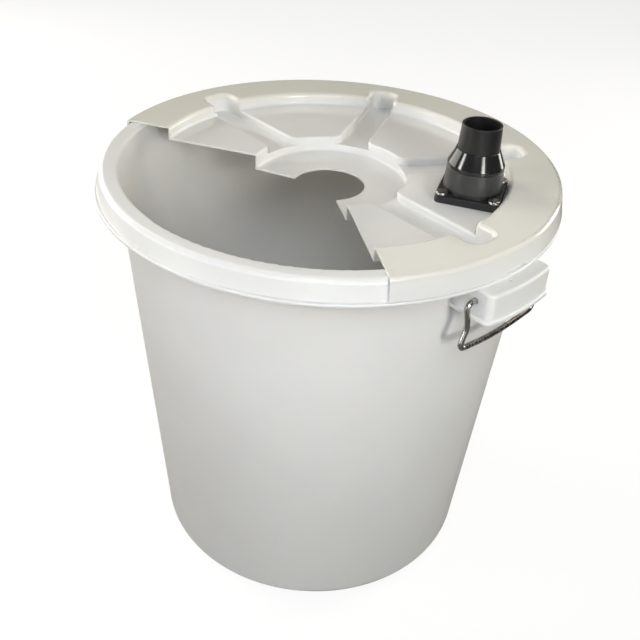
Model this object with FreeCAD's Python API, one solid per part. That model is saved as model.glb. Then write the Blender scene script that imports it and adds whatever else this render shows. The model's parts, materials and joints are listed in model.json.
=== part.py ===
import FreeCAD, Part
import math
import os

# Plastic fermenting tub with an inset lid, hose adaptor and two wire handles.
# Millimetres. Origin at the centre of the base, +Z up, handle brackets on +X and -X.

V = FreeCAD.Vector
UP = V(0, 0, 1)

# ---- tub ----
WALL_R0 = 208.7          # outer wall radius, carried down to the base plane
WALL_SLOPE = 0.0622      # radius gained for each millimetre of height
WALL = 3.0
FLOOR = 5.0
BASE_ROUND = 7.0
RIM_TOP = 513.2
RIM_SHEET = 3.5
RIM_LOW = 487.0          # lower edge of the rolled rim
RIM_R = 256.9            # outer edge of the rim's top, before its rounding
RIM_ROUND = 6.5
RIM_FOOT_R = 261.7       # rim skirt where it meets the lip
RIM_UNDER_R0 = 254.1     # hollow under the rim, at its top
RIM_UNDER_R1 = 259.1     # hollow under the rim, at its mouth
LIP_R = 265.0
LIP_TOP = 491.2

# ---- handle brackets, moulded on the tub ----
BRACKET_R = 282.0
BRACKET_HALF = 47.0       # half width at the top
BRACKET_DRAFT = 1.2       # each side flares this much down to the bead
BRACKET_LOW = 455.0
BRACKET_TOP = 488.2
BRACKET_SHEET = 3.0
BRACKET_ROUND = 8.0
BRACKET_SOFT = 3.0
BEAD = 2.4
BEAD_HEIGHT = 5.0
PIVOT_R = 259.0          # distance of the handle axis from the tub axis
PIVOT_Z = 475.0
PIVOT_HOLE_R = 3.4
SEAL_HOLE_R = 1.75       # small hole down through the bracket's top
SEAL_X = 269.4
SEAL_Y = -9.4

# ---- wire handles ----
WIRE_R = 3.0
STUB_IN = 40.0
LEG_Y = 59.3
LEG_BEND_Y = 52.5        # the legs lean in to here, then flare out
LEG_BEND_Z = 446.0
GRIP_Y = 60.5
GRIP_Z = 422.2
GRIP_MID_Z = 415.2

# ---- lid ----
LID_TOP = 516.0
SHEET = 2.5
LID_R = 260.2            # crown edge, before its rounding
LID_ROUND = 5.0          # crown edge into the skirt
SKIRT_R = 264.8
SKIRT_LOW = 491.6
PANEL_R = 202.5          # wall between the crown and the panels
PANEL_Z = LID_TOP - 14.0
CHANNEL_Z = LID_TOP - 23.0
DISH_R = 89.5
DISH_Z = LID_TOP - 31.0
DISH_FALL = 3.0          # the dish floor falls this much to the centre hole
HOLE_R = 42.0
CHANNEL_HALF = 17.5
POCKET_R = 233.0
CROWN_SOFT = 5.5
PANEL_SOFT = 3.0
FOOT_SOFT = 3.0
CHANNELS = 6
CHANNEL_TURN = -1.5      # degrees, the lid as it lies on the tub
CUT_FROM = 209.5         # degrees, the open sector of the lid
CUT_TO = 329.3
NOTCH_TURN = 1.2
NOTCH_R = 32.0
NOTCH_RISE = 5.5

# ---- hose adaptor on one lid panel ----
ADAPTOR_R = 164.2
ADAPTOR_TURN = 29.6
GASKET = 2.0
FLANGE_SIDE = 71.0
FLANGE_ROUND = 7.0
FLANGE = 6.5
COLLAR_R0 = 32.8
COLLAR_R1 = 30.8
COLLAR_TOP = LID_TOP + 20.4
SOCKET_R = 27.0
CONE_R1 = 23.4
CONE_BAND = 4.0          # straight band at the foot of the reducer
CONE_TOP = LID_TOP + 41.0
SPIGOT_R0 = 22.8
SPIGOT_R1 = 21.3
SPIGOT_TOP = LID_TOP + 67.6
BORE_R = 19.2
PLUG_R = 24.0            # bore of the reducer where it plugs into the collar
PLUG_IN = 14.0
TUBE_R = 21.0            # spigot where it plugs into the reducer
TUBE_IN = 10.0
SCREW_SPACING = 57.0
SCREW_R = 3.0
SCREW_HOLE_R = 3.4
HEAD_R = 6.9
HEAD = 3.2
WASHER_R = 6.0
WASHER = 1.6
NUT_AF = 10.0
NUT = 5.0


def at_turn(shape, degrees):
    """A copy of the shape turned about the tub's axis."""
    out = shape.copy()
    out.rotate(V(0, 0, 0), UP, degrees)
    return out


def revolved(points):
    """Full turn of a closed outline given as (radius, z) corners."""
    corners = [V(r, 0, z) for r, z in points]
    face = Part.Face(Part.makePolygon(corners + corners[:1]))
    return face.revolve(V(0, 0, 0), UP, 360)


def rounded_outline(points, radii, closed=True):
    """Edges of a polyline in the XZ plane with its corners rounded."""
    n = len(points)
    edges = []
    ends = []
    for i, (p, r) in enumerate(zip(points, radii)):
        if r <= 0 or (not closed and i in (0, n - 1)):
            ends.append((p, p))
            continue
        a = (points[i - 1] - p).normalize()
        b = (points[(i + 1) % n] - p).normalize()
        half = a.getAngle(b) / 2
        reach = r / math.tan(half)
        middle = (a + b).normalize() * (r / math.sin(half) - r)
        ends.append((p + a * reach, p + b * reach))
        edges.append((i, Part.Arc(p + a * reach, p + middle, p + b * reach).toShape()))
    arcs = dict(edges)
    out = []
    last = n if closed else n - 1
    for i in range(n):
        if i in arcs:
            out.append(arcs[i])
        if i < last:
            start = ends[i][1]
            stop = ends[(i + 1) % n][0]
            if (stop - start).Length > 1e-6:
                out.append(Part.makeLine(start, stop))
    return out


def rounded_revolved(points, radii):
    """Full turn of a (radius, z) outline with rounded corners."""
    wire = Part.Wire(rounded_outline([V(r, 0, z) for r, z in points], radii))
    return Part.Face(wire).revolve(V(0, 0, 0), UP, 360)


def wall_r(z):
    """Outer radius of the tub wall at a height."""
    return WALL_R0 + WALL_SLOPE * z


def ring(r_out, r_in, z0, z1):
    """Plain ring."""
    foot = V(0, 0, z0)
    return Part.makeCylinder(r_out, z1 - z0, foot).cut(Part.makeCylinder(r_in, z1 - z0, foot))


def box_x(x0, x1, half_y, z0, z1):
    """Box centred on the X axis."""
    return Part.makeBox(x1 - x0, 2 * half_y, z1 - z0, V(x0, -half_y, z0))


def round_upright(shape, radius, keep):
    """Round the upright edges whose middle passes the keep test."""
    edges = []
    for e in shape.Edges:
        if len(e.Vertexes) != 2:
            continue
        a, b = e.Vertexes[0].Point, e.Vertexes[1].Point
        if abs(a.z - b.z) > 0.9 * e.Length and keep((a + b) * 0.5):
            edges.append(e)
    return shape.makeFillet(radius, edges)


# ---------------------------------------------------------------- tub

def tub_body():
    """Tapered tub with a rolled rim, hollow under the rim."""
    crown_under = RIM_TOP - RIM_SHEET
    points = [
        (0, 0), (wall_r(0), 0),
        (wall_r(crown_under), crown_under), (RIM_UNDER_R0, crown_under),
        (RIM_UNDER_R1, RIM_LOW), (LIP_R, RIM_LOW), (LIP_R, LIP_TOP), (RIM_FOOT_R, LIP_TOP),
        (RIM_R, RIM_TOP), (wall_r(RIM_TOP) - WALL, RIM_TOP),
        (wall_r(FLOOR) - WALL, FLOOR), (0, FLOOR),
    ]
    radii = [0, BASE_ROUND, 2.0, 1.5, 0.6, 1.2, 1.2, 0.5, RIM_ROUND, 4.5, 6.0, 0]
    return rounded_revolved(points, radii)


def bracket_prism(r, half_low, half_top, z0, z1, corner):
    """Upright block under the rim, its outer face concentric with the tub."""
    corners = [V(200, -half_low, z0), V(200, half_low, z0), V(200, half_top, z1), V(200, -half_top, z1)]
    wedge = Part.Face(Part.makePolygon(corners + corners[:1])).extrude(V(100, 0, 0))
    block = Part.makeCylinder(r, z1 - z0, V(0, 0, z0)).common(wedge)
    return round_upright(block, corner, lambda p: p.x > 250)


def bracket():
    """Open-bottomed box that carries one wire handle, on the +X side."""
    low_half = BRACKET_HALF + BRACKET_DRAFT
    outer = bracket_prism(BRACKET_R, low_half, BRACKET_HALF, BRACKET_LOW, BRACKET_TOP, BRACKET_ROUND)
    top_front = [e for e in outer.Edges
                 if min(v.Z for v in e.Vertexes) > BRACKET_TOP - 0.01 and e.CenterOfMass.x > 215]
    outer = outer.makeFillet(BRACKET_SOFT, top_front)
    bead = bracket_prism(BRACKET_R + BEAD, low_half + BEAD, low_half + BEAD, BRACKET_LOW,
                         BRACKET_LOW + BEAD_HEIGHT, BRACKET_ROUND + BEAD)
    bead_edges = [e for e in bead.Edges
                  if abs(e.Vertexes[0].Z - e.Vertexes[-1].Z) < 0.01 and e.CenterOfMass.x > 215]
    bead = bead.makeFillet(1.6, bead_edges)
    inner = bracket_prism(BRACKET_R - BRACKET_SHEET, low_half - BRACKET_SHEET,
                          BRACKET_HALF - BRACKET_SHEET, BRACKET_LOW - 1, BRACKET_TOP - BRACKET_SHEET,
                          BRACKET_ROUND - BRACKET_SHEET)
    shell = outer.fuse(bead).cut(inner)
    pivot = Part.makeCylinder(PIVOT_HOLE_R, 120, V(PIVOT_R, -60, PIVOT_Z), V(0, 1, 0))
    seal = Part.makeCylinder(SEAL_HOLE_R, 20, V(SEAL_X, SEAL_Y, BRACKET_TOP - 10))
    return shell.cut(pivot).cut(seal)


def tub_shell():
    """Tub, rim and both brackets in one moulding."""
    lower = wall_r(BRACKET_LOW - 2) - WALL / 2
    upper = wall_r(BRACKET_TOP + 2) - WALL / 2
    core = Part.makeCone(lower, upper, BRACKET_TOP - BRACKET_LOW + 4, V(0, 0, BRACKET_LOW - 2))
    one = bracket().cut(core)
    return tub_body().fuse([one, at_turn(one, 180)]).removeSplitter()


# ---------------------------------------------------------------- wire handle

def wire_handle(side):
    """Bent rod: two end stubs, two legs that flare, and a bowed grip. Side is +1 or -1."""
    half = [(STUB_IN, PIVOT_Z), (LEG_Y, PIVOT_Z), (LEG_BEND_Y, LEG_BEND_Z), (GRIP_Y, GRIP_Z)]
    points = [V(0, y, z) for y, z in half]
    points += [V(0, 0, GRIP_MID_Z)]
    points += [V(0, -y, z) for y, z in reversed(half)]
    radii = [0, 5.5, 16.0, 6.5, 300.0, 6.5, 16.0, 5.5, 0]
    path = Part.Wire(Part.__sortEdges__(rounded_outline(points, radii, closed=False)))
    profile = Part.Wire(Part.makeCircle(WIRE_R, V(0, STUB_IN, PIVOT_Z), V(0, 1, 0)))
    rod = path.makePipeShell([profile], True, False)
    ends = [e for e in rod.Edges
            if abs(abs(e.CenterOfMass.y) - STUB_IN) < 0.01
            and abs(e.Length - 2 * math.pi * WIRE_R) < 0.1]
    rod = rod.makeChamfer(0.6, ends)
    rod.translate(V(PIVOT_R, 0, 0))
    return rod if side > 0 else at_turn(rod, 180)


# ---------------------------------------------------------------- lid

def channel_bar(half, r0, r1, z0, z1, corner):
    """Bar for one radial channel along +X, its outer corners rounded."""
    bar = box_x(r0, r1, half, z0, z1)
    return round_upright(bar, corner, lambda p: p.x > r1 - 1)


def all_channels(shape):
    """The shape repeated at every channel."""
    return [at_turn(shape, CHANNEL_TURN + 360.0 / CHANNELS * k) for k in range(CHANNELS)]


def panel_block(z0, z1, grow, corner):
    """Sector between two channels, from the dish to just under the crown, centred on +X."""
    half_step = math.radians(180.0 / CHANNELS)
    edge = CHANNEL_HALF - grow
    reach = 400.0
    along = V(math.cos(half_step), math.sin(half_step), 0)
    across = V(-math.sin(half_step), math.cos(half_step), 0)
    tip_x = edge / math.sin(half_step)
    far = V(tip_x, 0, 0) + along * reach
    wedge = Part.Face(Part.makePolygon([V(tip_x, 0, z0), V(far.x, far.y, z0),
                                        V(far.x, -far.y, z0), V(tip_x, 0, z0)]))
    wedge = wedge.extrude(V(0, 0, z1 - z0))
    block = wedge.common(ring(PANEL_R + 9.0, DISH_R - grow, z0, z1))
    return round_upright(block, corner, lambda p: math.hypot(p.x, p.y) < DISH_R + 5)


def all_panels(shape):
    """The shape repeated between the channels."""
    step = 360.0 / CHANNELS
    return [at_turn(shape, CHANNEL_TURN + step * (k + 0.5)) for k in range(CHANNELS)]


def crown_ring(r_out, r_wall, pocket_half, pocket_r, z0, top, corner):
    """Crown down to the channel floor, with the outer channel pockets let into it."""
    body = ring(r_out, r_wall, z0, top)
    bar = channel_bar(pocket_half, r_wall - 30, pocket_r, z0 - 1, top + 1, corner)
    return body.cut(all_channels(bar))


def middle_r(edge):
    """Distance from the axis to the middle of an edge."""
    p = edge.valueAt((edge.FirstParameter + edge.LastParameter) / 2)
    return math.hypot(p.x, p.y)


def edges_at(shape, z, r0, r1):
    """Level edges at a height whose middle lies between two radii."""
    return [e for e in shape.Edges
            if all(abs(v.Z - z) < 0.01 for v in e.Vertexes) and r0 < middle_r(e) < r1]


def soften_top(shape, top, radius, r_limit):
    """Round the top edges nearer the axis than the limit."""
    return shape.makeFillet(radius, edges_at(shape, top, 0, r_limit))


def panel_foot():
    """Ring that eases the corner between the panels and the crown wall."""
    r, z, f = PANEL_R, PANEL_Z, FOOT_SOFT
    return rounded_revolved([(r + 1, z - 1), (r + 1, z + f + 0.5), (r, z + f + 0.5), (r, z),
                             (r - f - 0.5, z), (r - f - 0.5, z - 1)], [0, 0, 0, f, 0, 0])


def lid_upper():
    """Everything under the lid's upper surface, down past the dish."""
    low = DISH_Z - 20.0
    crown = crown_ring(250.0, PANEL_R, CHANNEL_HALF, POCKET_R, low, LID_TOP, 12.0)
    crown = round_upright(crown, 7.0, lambda p: abs(math.hypot(p.x, p.y) - PANEL_R) < 0.5)
    crown = soften_top(crown, LID_TOP, CROWN_SOFT, 245.0)
    edge = rounded_revolved(
        [(249.0, low), (254.0, low), (254.0, SKIRT_LOW), (SKIRT_R, SKIRT_LOW), (LID_R, LID_TOP),
         (249.0, LID_TOP)],
        [0, 0, 0, 0.8, LID_ROUND, 0])
    panel = panel_block(low, PANEL_Z, 0.0, 14.0)
    panel = soften_top(panel, PANEL_Z, PANEL_SOFT, PANEL_R + 5)
    channel_floor = ring(POCKET_R + 2, DISH_R, low, CHANNEL_Z)
    dish = revolved([(HOLE_R, low), (DISH_R + 1, low), (DISH_R + 1, DISH_Z), (DISH_R, DISH_Z),
                     (HOLE_R, DISH_Z - DISH_FALL)])
    bar = channel_bar(CHANNEL_HALF, 0, 300, low, LID_TOP, 1.0)
    foot = panel_foot().cut(all_channels(bar))
    upper = crown.fuse([edge, channel_floor, dish, foot] + all_panels(panel)).removeSplitter()
    return upper.makeFillet(FOOT_SOFT, edges_at(upper, DISH_Z, DISH_R - 0.5, DISH_R + 0.5))


def lid_under():
    """The space under the lid's sheet."""
    low = DISH_Z - 21.0
    top = LID_TOP - SHEET
    wall = PANEL_R + SHEET
    crown = crown_ring(250.0, wall, CHANNEL_HALF + SHEET, POCKET_R + SHEET, low, top, 14.5)
    crown = round_upright(crown, 4.5, lambda p: abs(math.hypot(p.x, p.y) - wall) < 0.5)
    slope = (SKIRT_R - LID_R) / (LID_TOP - SKIRT_LOW)
    edge = rounded_revolved(
        [(249.0, low), (300.0, low), (300.0, SKIRT_LOW), (SKIRT_R - SHEET, SKIRT_LOW),
         (LID_R - SHEET + slope * SHEET, top), (249.0, top)],
        [0, 0, 0, 0, LID_ROUND - SHEET, 0])
    panel = panel_block(low, PANEL_Z - SHEET, -SHEET, 11.5)
    channel_floor = ring(POCKET_R + SHEET + 2, DISH_R + SHEET, low, CHANNEL_Z - SHEET)
    dish = revolved([(0, low), (DISH_R + SHEET, low), (DISH_R + SHEET, DISH_Z - SHEET),
                     (HOLE_R, DISH_Z - DISH_FALL - SHEET), (0, DISH_Z - DISH_FALL - SHEET)])
    return crown.fuse([edge, channel_floor, dish] + all_panels(panel))


def lid_shell():
    """Inset lid with its sector cut away, centre hole, adaptor holes and lifting notches."""
    lid = lid_upper().cut(lid_under())
    span = CUT_TO - CUT_FROM
    sector = Part.makeCylinder(300, 80, V(0, 0, DISH_Z - 30), UP, span)
    lid = lid.cut(at_turn(sector, CUT_FROM))
    notch_z = SKIRT_LOW + NOTCH_RISE - NOTCH_R
    notch = Part.makeCylinder(NOTCH_R, 40, V(252, 0, notch_z), V(1, 0, 0))
    cuts = [at_turn(notch, NOTCH_TURN), at_turn(notch, NOTCH_TURN + 180)]
    cuts.append(Part.makeCylinder(HOLE_R, 60, V(0, 0, DISH_Z - 30)))
    cuts.append(on_panel(Part.makeCylinder(SOCKET_R - 1, 20, V(0, 0, PANEL_Z - 10))))
    cuts += screws_at(Part.makeCylinder(SCREW_HOLE_R, 20, V(0, 0, PANEL_Z - 10)))
    lid = lid.cut(cuts).removeSplitter()
    return max(lid.Solids, key=lambda s: s.Volume)


# ---------------------------------------------------------------- hose adaptor

def on_panel(shape):
    """Move a shape built on the tub's axis to the adaptor's place."""
    out = shape.copy()
    out.translate(V(ADAPTOR_R, 0, 0))
    return at_turn(out, ADAPTOR_TURN)


def screws_at(shape):
    """Copies of a shape built on the axis at the four flange screws."""
    half = SCREW_SPACING / 2
    out = []
    for sx in (-half, half):
        for sy in (-half, half):
            one = shape.copy()
            one.translate(V(sx, sy, 0))
            out.append(on_panel(one))
    return out


def flange_plate(z0, z1, bore, corner_edges):
    """Square plate with round corners, a bore and four screw holes."""
    half = FLANGE_SIDE / 2
    plate = Part.makeBox(FLANGE_SIDE, FLANGE_SIDE, z1 - z0, V(-half, -half, z0))
    plate = round_upright(plate, FLANGE_ROUND, lambda p: True)
    if corner_edges > 0:
        top = [e for e in plate.Edges if min(v.Z for v in e.Vertexes) > z1 - 0.01]
        plate = plate.makeFillet(corner_edges, top)
    holes = [Part.makeCylinder(bore, z1 - z0, V(0, 0, z0))]
    for sx in (-SCREW_SPACING / 2, SCREW_SPACING / 2):
        for sy in (-SCREW_SPACING / 2, SCREW_SPACING / 2):
            holes.append(Part.makeCylinder(SCREW_HOLE_R, z1 - z0, V(sx, sy, z0)))
    return plate.cut(holes)


def adaptor_flange():
    """Square flange and tapered collar in one piece."""
    z0 = PANEL_Z + GASKET
    plate = flange_plate(z0, z0 + FLANGE, SOCKET_R, 1.2)
    collar = rounded_revolved(
        [(SOCKET_R, z0 + 1), (COLLAR_R0, z0 + 1), (COLLAR_R1, COLLAR_TOP), (SOCKET_R, COLLAR_TOP)],
        [0, 0, 0.6, 0])
    return on_panel(plate.fuse(collar).removeSplitter())


def adaptor_cone():
    """Reducer that plugs into the collar."""
    plug_low = COLLAR_TOP - PLUG_IN
    shoulder = COLLAR_R1 + 0.2
    return on_panel(rounded_revolved(
        [(PLUG_R, plug_low), (SOCKET_R, plug_low), (SOCKET_R, COLLAR_TOP), (shoulder, COLLAR_TOP),
         (shoulder, COLLAR_TOP + CONE_BAND), (CONE_R1, CONE_TOP), (TUBE_R, CONE_TOP),
         (TUBE_R, CONE_TOP - TUBE_IN)],
        [0, 0, 0, 0.5, 5.0, 0.8, 0, 0]))


def adaptor_spigot():
    """Tapered tube that plugs into the reducer, with a straight bore."""
    return on_panel(rounded_revolved(
        [(BORE_R, CONE_TOP - TUBE_IN), (TUBE_R, CONE_TOP - TUBE_IN), (TUBE_R, CONE_TOP),
         (SPIGOT_R0, CONE_TOP), (SPIGOT_R1, SPIGOT_TOP), (BORE_R, SPIGOT_TOP)],
        [0, 0, 0, 0.4, 0.5, 0.4]))


def flange_gasket():
    """Flat gasket under the flange, trimmed clear of the rounded foot of the crown."""
    inside = Part.makeCylinder(PANEL_R - FOOT_SOFT - 0.2, 20, V(0, 0, PANEL_Z - 10))
    return on_panel(flange_plate(PANEL_Z, PANEL_Z + GASKET, SOCKET_R, 0)).common(inside)


def flange_screws():
    """Four pan-head screws with cross recesses."""
    seat = PANEL_Z + GASKET + FLANGE
    low = PANEL_Z - SHEET - WASHER - NUT - 1.5
    top = seat + HEAD
    head = rounded_revolved([(0, seat), (HEAD_R, seat), (HEAD_R - 0.8, top), (0, top)], [0, 0.4, 2.2, 0])
    shank = Part.makeCylinder(SCREW_R, seat - low + 0.5, V(0, 0, low))
    point = [e for e in shank.Edges if len(e.Vertexes) == 1 and e.Vertexes[0].Z < low + 0.01]
    shank = shank.makeChamfer(0.6, point)
    screw = head.fuse(shank)
    slot = Part.makeBox(7.0, 1.3, 3.0, V(-3.5, -0.65, seat + HEAD - 1.8))
    cross = slot.fuse(slot_turned(slot))
    return Part.makeCompound(screws_at(screw.cut(cross).removeSplitter()))


def slot_turned(slot):
    """The second bar of the cross recess."""
    out = slot.copy()
    out.rotate(V(0, 0, 0), UP, 90)
    return out


def flange_washers():
    """Four plain washers under the lid panel."""
    z1 = PANEL_Z - SHEET
    return Part.makeCompound(screws_at(ring(WASHER_R, SCREW_R + 0.2, z1 - WASHER, z1)))


def flange_nuts():
    """Four hexagon nuts under the washers."""
    z1 = PANEL_Z - SHEET - WASHER
    corners = [V(NUT_AF / math.sqrt(3) * math.cos(math.radians(60 * k)),
                 NUT_AF / math.sqrt(3) * math.sin(math.radians(60 * k)), z1 - NUT) for k in range(7)]
    nut = Part.Face(Part.makePolygon(corners)).extrude(V(0, 0, NUT))
    dome = revolved([(0, z1 - NUT), (NUT_AF / 2 - 0.2, z1 - NUT), (NUT_AF / 2 + 1.2, z1 - NUT + 0.9),
                     (NUT_AF / 2 + 1.2, z1 - 0.9), (NUT_AF / 2 - 0.2, z1), (0, z1)])
    nut = nut.common(dome).cut(Part.makeCylinder(SCREW_R, NUT, V(0, 0, z1 - NUT)))
    return Part.makeCompound(screws_at(nut))


def main():
    os.makedirs("parts", exist_ok=True)
    nodes = {
        "tub_shell": tub_shell(),
        "handle_wire_right": wire_handle(1),
        "handle_wire_left": wire_handle(-1),
        "lid_shell": lid_shell(),
        "flange_gasket": flange_gasket(),
        "adaptor_flange": adaptor_flange(),
        "adaptor_cone": adaptor_cone(),
        "adaptor_spigot": adaptor_spigot(),
        "flange_screws": flange_screws(),
        "flange_washers": flange_washers(),
        "flange_nuts": flange_nuts(),
    }
    for name, shape in nodes.items():
        shape.exportStep("parts/%s.step" % name)
        print(name, "solids", len(shape.Solids), "valid", shape.isValid())


main()
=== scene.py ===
import json
import math

import bpy
from mathutils import Matrix, Vector

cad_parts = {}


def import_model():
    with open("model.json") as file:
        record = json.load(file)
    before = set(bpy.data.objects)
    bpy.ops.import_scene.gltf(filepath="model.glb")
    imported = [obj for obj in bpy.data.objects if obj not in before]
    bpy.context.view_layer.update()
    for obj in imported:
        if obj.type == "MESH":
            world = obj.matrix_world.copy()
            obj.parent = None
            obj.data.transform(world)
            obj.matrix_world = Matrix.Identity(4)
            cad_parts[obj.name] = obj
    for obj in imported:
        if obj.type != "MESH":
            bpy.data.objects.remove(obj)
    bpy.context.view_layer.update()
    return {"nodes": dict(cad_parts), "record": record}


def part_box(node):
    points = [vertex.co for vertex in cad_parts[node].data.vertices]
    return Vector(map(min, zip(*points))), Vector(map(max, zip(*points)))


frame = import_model()

# ------------------------------------------------------------------ materials


class Nodes:
    """A material under construction, with short calls for the nodes used here."""

    def __init__(self, name):
        self.mat = bpy.data.materials.new(name)
        self.mat.use_nodes = True
        self.tree = self.mat.node_tree
        self.tree.nodes.clear()
        self.out = self.tree.nodes.new("ShaderNodeOutputMaterial")
        self.bsdf = self.tree.nodes.new("ShaderNodeBsdfPrincipled")
        self.link(self.bsdf.outputs[0], self.out.inputs["Surface"])
        self.coords = self.tree.nodes.new("ShaderNodeTexCoord").outputs["Object"]

    def link(self, a, b):
        self.tree.links.new(a, b)

    def put(self, socket, value):
        if isinstance(value, bpy.types.NodeSocket):
            self.link(value, socket)
        else:
            socket.default_value = value

    def set(self, **values):
        for key, value in values.items():
            self.put(self.bsdf.inputs[key.replace("_", " ")], value)

    def stretch(self, scale):
        """Object coordinates scaled per axis, to draw a pattern out along one of them."""
        node = self.tree.nodes.new("ShaderNodeMapping")
        self.link(self.coords, node.inputs["Vector"])
        node.inputs["Scale"].default_value = scale
        return node.outputs[0]

    def noise(self, scale, detail, rough, vector=None):
        """Noise with scale in features per metre."""
        node = self.tree.nodes.new("ShaderNodeTexNoise")
        self.link(vector or self.coords, node.inputs["Vector"])
        node.inputs["Scale"].default_value = scale
        node.inputs["Detail"].default_value = detail
        node.inputs["Roughness"].default_value = rough
        return node.outputs["Fac"]

    def ramp(self, value, low, high, out_low=0.0, out_high=1.0):
        """Smooth step from out_low at value low to out_high at value high."""
        node = self.tree.nodes.new("ShaderNodeMapRange")
        node.interpolation_type = "SMOOTHSTEP"
        self.link(value, node.inputs["Value"])
        node.inputs["From Min"].default_value = low
        node.inputs["From Max"].default_value = high
        node.inputs["To Min"].default_value = out_low
        node.inputs["To Max"].default_value = out_high
        return node.outputs["Result"]

    def math(self, operation, a, b):
        node = self.tree.nodes.new("ShaderNodeMath")
        node.operation = operation
        self.put(node.inputs[0], a)
        self.put(node.inputs[1], b)
        return node.outputs[0]

    def mix(self, fac, a, b):
        node = self.tree.nodes.new("ShaderNodeMix")
        node.data_type = "RGBA"
        self.put(node.inputs[0], fac)
        self.put(node.inputs[6], a)
        self.put(node.inputs[7], b)
        return node.outputs[2]

    def axis(self, index):
        node = self.tree.nodes.new("ShaderNodeSeparateXYZ")
        self.link(self.coords, node.inputs[0])
        return node.outputs[index]

    def bump(self, *layers):
        """Each layer is a height value and its distance in metres."""
        last = None
        for height, distance in layers:
            node = self.tree.nodes.new("ShaderNodeBump")
            node.inputs["Strength"].default_value = 1.0
            node.inputs["Distance"].default_value = distance
            self.link(height, node.inputs["Height"])
            if last is not None:
                self.link(last, node.inputs["Normal"])
            last = node.outputs[0]
        self.link(last, self.bsdf.inputs["Normal"])


# Reflectance factors and colours.
YELLOWED = (1.0, 0.985, 0.925, 1)
# grey of the real dust specks, also used for the painted light on the collar
DUST_AND_PAINTED_LIGHT_GREY = (0.30, 0.30, 0.30, 1)
TARNISHED = 0.7
THROUGH_COLOUR = (1.0, 0.95, 0.86)   # distance light travels in the plastic, by colour
PLASTIC_IOR = 1.5

# Noise scales, in features per metre.
CLOUDS = 5.0
YELLOW_PATCHES = 3.5
WIPE_MARKS = 9.0
MOULD_WAVE = 7.0
WHITE_GRAIN = 420.0
SPECKS = 220.0
# patches of the painted light on the collar
PAINTED_LIGHT_PATCHES = 45.0
HANDLING = 30.0
BLACK_GRAIN = 1400.0
TARNISH = 60.0
STEEL_STREAKS = 320.0
STEEL_GRAIN = 700.0

# Heights in metres.
WHITE_GRAIN_DEEP = 0.000010
FINE_GRAIN_DEEP = 0.000008
YELLOW_FADE = 0.004
# height over which the painted light on the collar fades in
PAINTED_LIGHT_FADE = 0.002


def white_plastic(name, pale, deep, rough, through, depth, wave, warm_from=None):
    """Moulded polyethylene that lets some light through its thin sheet, with clouds, wipe marks and a ripple.

    Above the height warm_from, where hands and dust reach it most, it is slightly yellowed.
    """
    n = Nodes(name)
    cloud = n.ramp(n.noise(CLOUDS, 3.0, 0.5), 0.35, 0.65)
    colour = n.mix(cloud, pale, deep)
    if warm_from is not None:
        high = n.ramp(n.axis(2), warm_from - YELLOW_FADE, warm_from)
        patchy = n.ramp(n.noise(YELLOW_PATCHES, 3.0, 0.6), 0.30, 0.62, 0.45, 1.0)
        yellow = tuple(a * b for a, b in zip(deep, YELLOWED))
        colour = n.mix(n.math("MULTIPLY", high, patchy), colour, yellow)
    wiped = n.noise(WIPE_MARKS, 4.0, 0.6)
    n.set(Base_Color=colour)
    n.set(Roughness=n.ramp(wiped, 0.2, 0.8, rough - 0.02, rough + 0.04))
    n.set(Subsurface_Weight=through, Subsurface_Scale=depth, IOR=PLASTIC_IOR)
    n.bsdf.inputs["Subsurface Radius"].default_value = THROUGH_COLOUR
    n.bump((n.noise(MOULD_WAVE, 2.0, 0.4), wave), (n.noise(WHITE_GRAIN, 2.0, 0.5), WHITE_GRAIN_DEEP))
    return n.mat


def black_plastic(name, colour, rough, painted_light_grey=0.0, painted_light_from=None, specks=0.08):
    """Dark moulded plastic with fine dust and handling marks, and painted light as grey above a given height.
    """
    n = Nodes(name)
    # real dust specks; above the given height, painted light is added to the same mask
    dust = n.math("MULTIPLY", n.ramp(n.noise(SPECKS, 4.0, 0.65), 0.60, 0.78), specks)
    if painted_light_from is not None:
        # painted light: above this height the collar is lifted towards grey, standing in for the light it
        # catches
        high = n.ramp(n.axis(2), painted_light_from, painted_light_from + PAINTED_LIGHT_FADE)
        painted_light = n.math("MULTIPLY", n.ramp(n.noise(PAINTED_LIGHT_PATCHES, 4.0, 0.6), 0.25, 0.75, 0.7, 1.0), painted_light_grey)
        dust = n.math("ADD", dust, n.math("MULTIPLY", high, painted_light))
    n.set(Base_Color=n.mix(dust, colour, DUST_AND_PAINTED_LIGHT_GREY))
    n.set(Roughness=n.ramp(n.noise(HANDLING, 3.0, 0.5), 0.3, 0.7, rough - 0.02, rough + 0.03))
    n.bump((n.noise(BLACK_GRAIN, 2.0, 0.5), FINE_GRAIN_DEEP))
    return n.mat


def steel(name, colour, rough, grain):
    """Drawn or turned steel with fine grain and light tarnish."""
    n = Nodes(name)
    tarnish = n.ramp(n.noise(TARNISH, 4.0, 0.55), 0.35, 0.75)
    darker = tuple(TARNISHED * c for c in colour[:3]) + (1,)
    n.set(Base_Color=n.mix(tarnish, colour, darker))
    n.set(Metallic=1.0)
    streaks = n.noise(STEEL_STREAKS, 4.0, 0.6, n.stretch(grain))
    n.set(Roughness=n.ramp(streaks, 0.3, 0.7, rough - 0.04, rough + 0.08))
    n.bump((n.noise(STEEL_GRAIN, 3.0, 0.6, n.stretch(grain)), FINE_GRAIN_DEEP))
    return n.mat


CROWN_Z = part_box("lid_shell")[1][2]       # top of the lid
HEADS_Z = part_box("flange_screws")[1][2]   # top of the screw heads; above it the collar is painted lighter grey, as painted light

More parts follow.
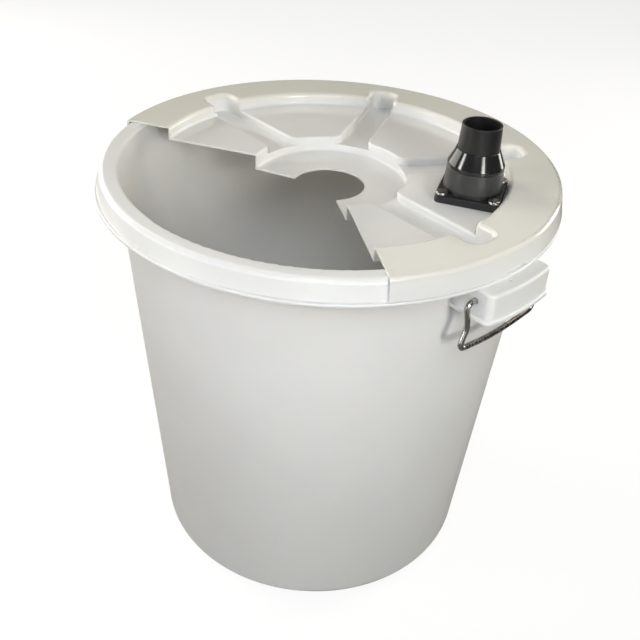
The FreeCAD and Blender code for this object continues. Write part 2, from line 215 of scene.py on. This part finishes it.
MATERIALS = {
    "tub_plastic": white_plastic("tub_white", (0.83, 0.83, 0.825, 1), (0.80, 0.80, 0.795, 1),
                                 0.30, 0.85, 0.004, 0.0003),
    "lid_plastic": white_plastic("lid_white", (0.80, 0.798, 0.79, 1), (0.77, 0.767, 0.755, 1),
                                 0.13, 0.35, 0.0015, 0.0002, CROWN_Z - YELLOW_FADE),
    # flange and collar: the collar above the screw heads carries painted light
    "black_plastic": black_plastic("flange_black", (0.010, 0.010, 0.011, 1), 0.34, 0.11, HEADS_Z),
    "black_gloss": black_plastic("cone_black", (0.016, 0.016, 0.017, 1), 0.12, specks=0.03),
    "gasket_rubber": black_plastic("gasket_black", (0.020, 0.020, 0.020, 1), 0.75),
    "handle_steel": steel("handle_steel", (0.50, 0.49, 0.48, 1), 0.24, (1.0, 1.0, 0.1)),
    "screw_steel": steel("screw_steel", (0.40, 0.40, 0.39, 1), 0.30, (1.0, 1.0, 1.0)),
}
OWN_MATERIAL = {"adaptor_spigot": black_plastic("spigot_black", (0.013, 0.013, 0.014, 1), 0.32, specks=0.02)}


def dress(name):
    """Give a carried-over CAD node its procedural material."""
    obj = frame["nodes"][name]
    slot = next(s["material_slot"] for s in frame["record"]["subparts"] if s["node"] == name)
    material = OWN_MATERIAL.get(name, MATERIALS[slot])
    if not obj.material_slots:
        obj.data.materials.append(material)
    for held in obj.material_slots:
        held.material = material


for node_name in frame["nodes"]:
    dress(node_name)

# ------------------------------------------------------------------ stage


FLOOR_HALF = 12.0
FLOOR_Z = -0.0005          # just under the base, so that the two don't fight
FLOOR_ROUGH = 0.9
SEEN_ALBEDO = 0.2          # how much shadow the camera sees on the floor


def floor(albedo, shown):
    """A pale studio floor of the given albedo. The camera sees it evenly bright, with a soft shadow."""
    mesh = bpy.data.meshes.new("floor")
    half = FLOOR_HALF
    corners = [(-half, -half, 0), (half, -half, 0), (half, half, 0), (-half, half, 0)]
    mesh.from_pydata(corners, [], [(0, 1, 2, 3)])
    obj = bpy.data.objects.new("floor", mesh)
    bpy.context.scene.collection.objects.link(obj)
    obj.location.z = FLOOR_Z
    n = Nodes("floor_pale")
    n.set(Base_Color=(albedo, albedo, albedo, 1), Roughness=FLOOR_ROUGH)
    seen = n.tree.nodes.new("ShaderNodeBsdfPrincipled")
    seen.name = "seen"
    seen.inputs["Base Color"].default_value = (SEEN_ALBEDO, SEEN_ALBEDO, SEEN_ALBEDO, 1)
    seen.inputs["Roughness"].default_value = FLOOR_ROUGH
    seen.inputs["Specular IOR Level"].default_value = 0.0
    seen.inputs["Emission Color"].default_value = (1, 1, 1, 1)
    seen.inputs["Emission Strength"].default_value = shown
    either = n.tree.nodes.new("ShaderNodeMixShader")
    path = n.tree.nodes.new("ShaderNodeLightPath")
    n.link(path.outputs["Is Camera Ray"], either.inputs[0])
    n.link(n.bsdf.outputs[0], either.inputs[1])
    n.link(seen.outputs[0], either.inputs[2])
    n.link(either.outputs[0], n.out.inputs["Surface"])
    mesh.materials.append(n.mat)


WHITE = (1, 1, 1)
MIDDLE = (0, 0, 0.3)
NEAR_WALL = (0.1, 0, 0.4)
LID_MIDDLE = (0, 0, 0.5)
ADAPTOR_AT = (0.143, 0.081, 0.53)
BRACKET_AT = (0.29, -0.06, 0.43)
LARGE = (1.1, 1.0)


def softbox(name, azimuth, elevation, distance, size, power, colour=WHITE, aim=MIDDLE, spread=180.0):
    """Area light at a direction and distance from where it aims, with its power in watts.

    Azimuth 0 is at -Y and turns towards +X. Azimuth, elevation and spread are in degrees.
    """
    data = bpy.data.lights.new(name, "AREA")
    data.shape = "RECTANGLE"
    data.size, data.size_y = size
    data.energy = power
    data.color = colour
    data.spread = math.radians(spread)
    obj = bpy.data.objects.new(name, data)
    bpy.context.scene.collection.objects.link(obj)
    a, e = math.radians(azimuth), math.radians(elevation)
    aim = Vector(aim)
    away = Vector((math.sin(a) * math.cos(e), -math.cos(a) * math.cos(e), math.sin(e)))
    obj.location = aim + distance * away
    obj.rotation_euler = (aim - obj.location).to_track_quat("-Z", "Y").to_euler()
    obj.visible_camera = False


def world(shown):
    """A dark room around the lights. The camera sees a pale backdrop past the floor's edge."""
    scene_world = bpy.data.worlds.new("studio")
    scene_world.use_nodes = True
    tree = scene_world.node_tree
    back = tree.nodes["Background"]
    back.inputs["Color"].default_value = (1, 1, 1, 1)
    path = tree.nodes.new("ShaderNodeLightPath")
    level = tree.nodes.new("ShaderNodeMapRange")
    level.inputs["To Max"].default_value = shown
    tree.links.new(path.outputs["Is Camera Ray"], level.inputs["Value"])
    tree.links.new(level.outputs["Result"], back.inputs["Strength"])
    bpy.context.scene.world = scene_world


# The camera, in metres and the row frame.
CAMERA_AT = Vector((0.6268, -0.6053, 0.9024))
CAMERA_RIGHT = Vector((0.66813, 0.74246, 0.04853))
CAMERA_UP = Vector((-0.45587, 0.35694, 0.81534))
LENS = 46.03               # millimetres, for the sensor below
SENSOR = 36.0
CLIP_START = 0.05


def camera():
    data = bpy.data.cameras.new("camera")
    data.lens = LENS
    data.sensor_width = SENSOR
    data.clip_start = CLIP_START
    obj = bpy.data.objects.new("camera", data)
    bpy.context.scene.collection.objects.link(obj)
    back = CAMERA_RIGHT.cross(CAMERA_UP)
    turn = Matrix((CAMERA_RIGHT, CAMERA_UP, back)).transposed()
    obj.matrix_world = Matrix.Translation(CAMERA_AT) @ turn.to_4x4()
    bpy.context.scene.camera = obj


floor(0.15, 0.83)
world(1.0)

# Broad lights stand round the object. Those with a small spread reach only the adaptor, bracket, inside or rim.
softbox("window_key", 71, 18, 2.4, (0.46, 0.8), 22.5, (1.0, 0.965, 0.87), NEAR_WALL)
softbox("window_left", 332, 16, 2.4, (0.45, 0.7), 5.5, (0.85, 0.92, 1.0), NEAR_WALL)
softbox("cone_left", 332, 16, 2.4, (0.50, 0.6), 0.17, (1.0, 0.99, 0.97), ADAPTOR_AT, 16)
softbox("over_camera", 46, 45, 2.6, LARGE, 22.0, (0.865, 0.935, 1.0))
softbox("front_low", 46, 3, 2.4, (0.9, 0.5), 3.5, aim=(0, 0, 0.25))
softbox("front_strip", 342, 0, 2.0, (0.35, 1.2), 6.0, (1.0, 0.90, 0.78), aim=(0, 0, 0.65))
softbox("side_low", 286, 12, 2.6, (2.2, 1.8), 56.0, (1.0, 0.975, 0.90))
softbox("side_high", 286, 45, 2.6, LARGE, 11.5, (1.0, 0.915, 0.79))
softbox("far_low", 166, 12, 2.6, LARGE, 25.6, (1.0, 0.995, 0.92))
softbox("far_high", 166, 45, 2.6, LARGE, 11.0, (1.0, 0.89, 0.68))
softbox("back_right", 211, 31, 3.0, (0.9, 0.7), 1.7, (1.0, 0.92, 0.83), LID_MIDDLE)
softbox("back_left", 241, 33, 3.0, (0.6, 0.6), 1.6, (1.0, 0.88, 0.55), LID_MIDDLE)
softbox("cone_right", 71, 18, 2.4, (0.45, 0.6), 0.075, aim=ADAPTOR_AT, spread=16)
softbox("bracket_left", 352, 4, 1.8, (0.3, 0.3), 0.045, aim=BRACKET_AT, spread=12)
softbox("into_tub", 100, 42, 1.5, (0.25, 0.25), 0.13, aim=(-0.16, -0.17, 0.42), spread=40)
softbox("rim_right", 80, 10, 1.7, (0.7, 0.4), 0.08, (0.90, 0.94, 1.0), (0, 0, 0.52), 45)
camera()
bpy.context.scene.view_settings.view_transform = "Standard"
